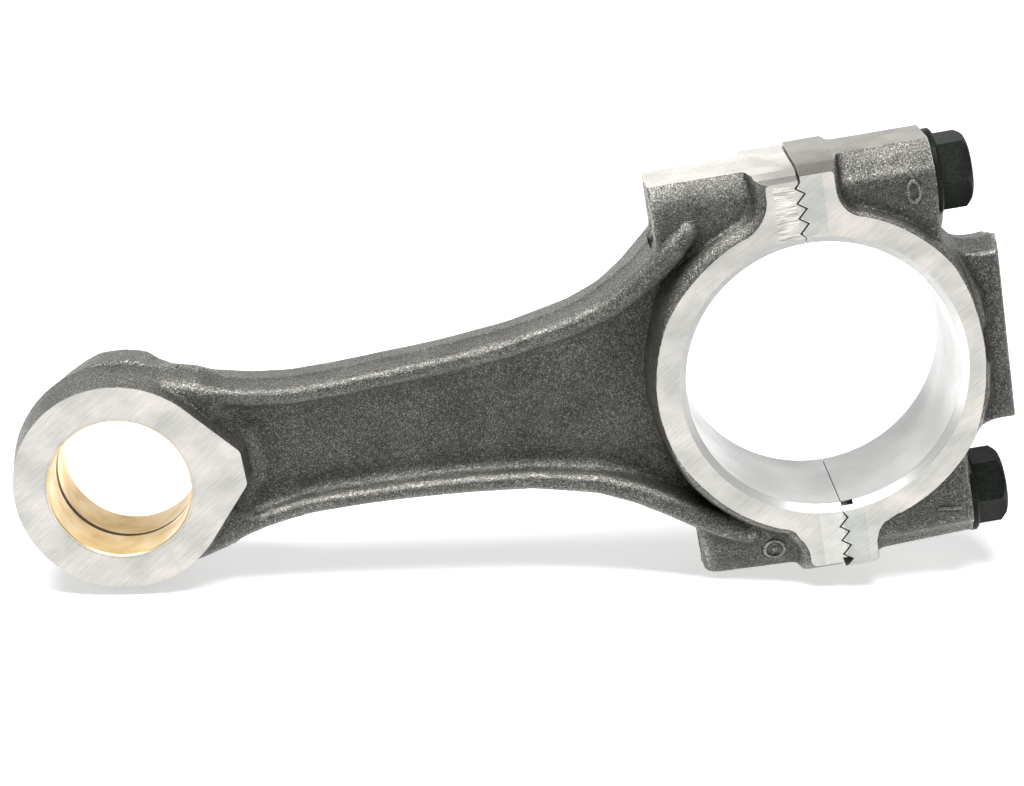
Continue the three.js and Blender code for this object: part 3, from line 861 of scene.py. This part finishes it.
# the pin bore's wall, seen only through the oil gap between the bushes, takes the dark forging skin as
# painted shade
small_bore = turned("small_bore", [
    (0, -20), (BUSH_OUTER_R, -20), (BUSH_OUTER_R, 20), (0, 20),
], BORE_SEGMENTS, about_y(-CENTRES))
machine(rod, [
    split_cutter(1),
    *face_cutters(CRANK_HALF_Y, -70, 20),
    *face_cutters(SMALL_HALF_Y, -200, -118),
    *flat_cutters(ROD_FLAT_TOP_Z),
    painted(block("last_tooth", (-1.3, -WIDE, -FAR), (2.0, WIDE, 1.9 - ROD_EAR_Z)), MILLED),
    *ear_cutters(-13, 6, ROD_EAR_Z, ROD_EAR_SLOPE),
    bore_cutter(),
    painted(small_bore, SKIN),
    *rod_bolt_hole(BOLT_Z),
    *rod_bolt_hole(-BOLT_Z),
])
# forging marks: a ring with a dot on the rod, an oval and a bar on the cap
machine(rod, [
    raised_line(rod, ellipse(-15.7, -40.1, 2.2, 2.1), True),
    raised_line(rod, ellipse(-15.7, -40.1, 0.3, 0.3, 8), True),
], "UNION")

cap = painted(forging("cap_forging", cap_field, (-4.0, -18.2, -49.5), (44.6, 18.2, 49.5)), SKIN)
past_cap = 60
spot_profile = [(0, SEAT_X), (SPOT_FACE_R, SEAT_X), (SPOT_FACE_R, past_cap), (0, past_cap)]
seat_cutters = [
    painted(turned("spot_facer", spot_profile, 64, about_x(z)), MILLED) for z in (BOLT_Z, -BOLT_Z)
] + [
    painted(block("seat_mill", (SEAT_X, -WIDE, low_z), (past_cap, WIDE, high_z)), MILLED)
    for low_z, high_z in ((SPOT_FACE_Z, FAR), (-FAR, -SPOT_FACE_Z))
]
hole_r = BOLT_R + HOLE_CLEARANCE
hole_profile = [(0, -5), (hole_r, -5), (hole_r, past_cap), (0, past_cap)]
cap_holes = [
    painted(turned("clearance_hole", hole_profile, 48, about_x(z)), MILLED) for z in (BOLT_Z, -BOLT_Z)
]
machine(cap, [
    split_cutter(-1),
    *face_cutters(CRANK_HALF_Y, -20, past_cap),
    *flat_cutters(FLAT_TOP_Z),
    *ear_cutters(-6, CAP_EAR_X + 0.6, CAP_EAR_Z, CAP_EAR_SLOPE),
    painted(block("tang_notch", (-0.5, -14.9, -30.85), (2.7, -13.6, -29)), SKIN),
    bore_cutter(),
    *seat_cutters,
    *cap_holes,
])
machine(cap, [
    raised_line(cap, ellipse(24.4, 36.9, 1.25, 2.3), True),
    raised_line(cap, [(x, -36.5 - (x - 21.6) * 0.16) for x in np.linspace(21.6, 26.8, 14)], False),
], "UNION")


# ---------------------------------------------------------------- bushes, washers and bolts
def bush(name, way):
    """Half bush; its inner end is not quite square, so the oil gap narrows to one side."""
    def place(radius, length, angle):
        gap = OIL_GAP / 2 * (0.66 - 0.34 * math.cos(angle)) if length == 0 else length
        return (-CENTRES + radius * math.cos(angle), way * gap, radius * math.sin(angle))
    outer = SMALL_HALF_Y - 0.06
    profile = [
        (PIN_BORE_R, 0), (PIN_BORE_R, outer - BUSH_LEAD), (PIN_BORE_R + BUSH_LEAD, outer),
        (BUSH_OUTER_R - 0.04, outer), (BUSH_OUTER_R - 0.04, 0),
    ]
    made = painted(turned(name, profile, BORE_SEGMENTS, place, closed=True), BRONZE)
    made.data.materials.append(MILLED)             # the lining's steel backing shows at the ends
    for face in made.data.polygons:
        if math.hypot(face.center.x + CENTRES, face.center.z) > PIN_BORE_R + BUSH_LEAD:
            face.material_index = 1
    return made


def washer(name, bolt_z):
    """Disc under a bolt head, with a broad chamfer towards the head."""
    low, high = SEAT_X + CLEAR, SEAT_X + WASHER_THICK
    profile = [
        (BOLT_R + 0.5, low), (WASHER_R - 0.2, low), (WASHER_R, low + 0.2), (WASHER_R, high - 0.45),
        (WASHER_R - 0.45, high), (BOLT_R + 0.9, high), (BOLT_R + 0.5, high - 0.3),
    ]
    return painted(turned(name, profile, 72, about_x(bolt_z), closed=True), BLACK)


def bolt(name, bolt_z):
    """Hexagon bolt: chamfered head, shank with a collar and a neck, and a thread to its end."""
    under = SEAT_X + WASHER_THICK + CLEAR
    top = under + HEAD_HEIGHT
    reach = HEAD_FLATS / math.sqrt(3)
    corners = [math.radians(60 * k + 3.5) for k in range(6)]
    points = [(x, reach * math.cos(a), bolt_z + reach * math.sin(a)) for x in (under, top) for a in corners]
    faces = [(k, (k + 1) % 6, (k + 1) % 6 + 6, k + 6) for k in range(6)]
    head = outward(piece_from(name, points, [*faces, range(6), range(11, 5, -1)]))
    limit = turned("head_limit", [
        (0, under - 1), (reach + 1, under - 1), (reach + 1, top - 2.4), (reach + 0.1, top - 1.75),
        (HEAD_FLATS / 2 - 0.2, top - 0.35), (HEAD_FLATS / 2 - 1.1, top), (0, top),
    ], 72, about_x(bolt_z))
    machine(head, [limit], "INTERSECT")
    collar_r, shank_r, neck_r = BOLT_R + 0.6, BOLT_R - 0.05, BOLT_R - 0.75
    shank = turned("shank", [
        (0, under + 1), (collar_r, under + 1), (collar_r, under - 0.1), (shank_r, under - 0.9),
        (shank_r, 4.0), (neck_r, 3.0), (neck_r, 0.0), (0, 0.0),
    ], 48, about_x(bolt_z))
    thread = threaded(bolt_z, BOLT_R - CLEAR, 1.0, under - BOLT_LENGTH, True)
    machine(head, [shank, thread], "UNION")
    return painted(head, BLACK)


# piece, body that it rides on, CAD nodes that it replaces, material slot
pieces = {
    "connecting_rod": (rod, "rod", ["rod_body"], "forged_steel"),
    "rod_cap": (cap, "cap", ["bearing_cap"], "forged_steel"),
    "bush_front": (bush("bush_front", -1), "rod", ["small_end_bush_front"], "bush_bronze"),
    "bush_rear": (bush("bush_rear", 1), "rod", ["small_end_bush_rear"], "bush_bronze"),
}
for side, bolt_z in (("upper", BOLT_Z), ("lower", -BOLT_Z)):
    pieces[side + "_disc"] = (washer(side, bolt_z), side + "_washer", [side + "_washer"], "bolt_steel")
    pieces[side + "_rod_bolt"] = (bolt(side, bolt_z), side + "_bolt", [side + "_bolt"], "bolt_steel")

SMOOTH_BELOW = math.radians(32)

for name, (piece, body, replaced, slot) in pieces.items():
    piece.name = name
    piece.data.name = name
    piece.data.transform(ROD)
    piece.data.update()
    shape = bmesh.new()
    shape.from_mesh(piece.data)
    for face in shape.faces:
        face.smooth = True
    for edge in shape.edges:
        if len(edge.link_faces) == 2:
            a, b = edge.link_faces
            same = a.material_index == b.material_index
            edge.smooth = same and edge.calc_face_angle(0) < SMOOTH_BELOW
    shape.to_mesh(piece.data)
    shape.free()
    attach(piece, body)
    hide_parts(*replaced)


# ---------------------------------------------------------------- studio
def floor_material():
    """Plain white floor that glows a little, more so far away, to stay white out to the horizon."""
    m = Nodes("studio_floor", (0.8, 0.8, 0.8), 0.9, 0.0)
    m.shader.inputs["Specular IOR Level"].default_value = 0.1
    m.shader.inputs["Emission Color"].default_value = (1, 1, 1, 1)
    away = m.add("ShaderNodeVectorMath", operation="LENGTH")
    m.link(m.place.outputs["Vector"], away.inputs[0])
    glow = m.add("ShaderNodeMapRange", **{
        "From Min": 1000.0, "From Max": 2000.0, "To Min": 0.54, "To Max": 1.0,
    })
    m.link(away.outputs["Value"], glow.inputs["Value"])
    m.link(glow.outputs["Result"], m.shader.inputs["Emission Strength"])
    return m.material


FLOOR_HALF = 40.0                  # metres
floor = piece_from("floor", [(-1, -1, 0), (1, -1, 0), (1, 1, 0), (-1, 1, 0)], [(0, 1, 2, 3)])
floor.data.transform(Matrix.Translation((0, 0, cad_box[0][2])) @ Matrix.Scale(FLOOR_HALF, 4))
painted(floor, floor_material())

world = bpy.data.worlds.new("studio")
world.use_nodes = True
nodes, links = world.node_tree.nodes, world.node_tree.links
background = nodes["Background"]
background.inputs["Color"].default_value = (1, 1, 1, 1)
sky = nodes.new("ShaderNodeSeparateXYZ")
links.new(nodes.new("ShaderNodeTexCoord").outputs["Generated"], sky.inputs[0])
haze = nodes.new("ShaderNodeMapRange")             # white at the horizon, dimmer above
for socket, value in (("From Min", 0.0), ("From Max", 0.10), ("To Min", 0.85), ("To Max", 0.2)):
    haze.inputs[socket].default_value = value
links.new(sky.outputs["Z"], haze.inputs["Value"])
links.new(haze.outputs["Result"], background.inputs["Strength"])
bpy.context.scene.world = world


def softbox(name, place, aim, size, power):
    lamp = bpy.data.lights.new(name, "AREA")
    lamp.shape = "RECTANGLE"
    lamp.size, lamp.size_y = size
    lamp.energy = power
    lit = bpy.data.objects.new(name, lamp)
    lit.location = place
    lit.rotation_euler = (Vector(aim) - Vector(place)).to_track_quat("-Z", "Y").to_euler()
    bpy.context.scene.collection.objects.link(lit)


softbox("overhead", (-0.1, -0.30, 1.0), (0.0, 0.0, 0.05), (0.9, 0.3), 17.5)
softbox("back_wall", (0.0, 1.6, 0.62), (0.0, 0.0, 0.1), (3.0, 1.0), 9)

# ---------------------------------------------------------------- camera
camera = bpy.data.cameras.new("photo_angle")
camera.sensor_width = 36.0
camera.lens = 83.14
camera.clip_start = 0.01
camera.clip_end = 50.0
eye = bpy.data.objects.new("photo_angle", camera)
# its place and directions in the rod's own frame
eye_at = Vector((-51.0, -503.48, 170.55))
right = Vector((0.985887, -0.021544, -0.166019)).normalized()
ahead = Vector((-0.032413, 0.948356, -0.315549)).normalized()
upward = right.cross(ahead).normalized()
rod_turn = ROD.to_3x3().normalized()
look = Matrix((rod_turn @ right, rod_turn @ upward, rod_turn @ -ahead)).transposed().to_4x4()
eye.matrix_world = Matrix.Translation(ROD @ eye_at) @ look
bpy.context.scene.collection.objects.link(eye)
bpy.context.scene.camera = eye
bpy.context.scene.view_settings.view_transform = "Standard"
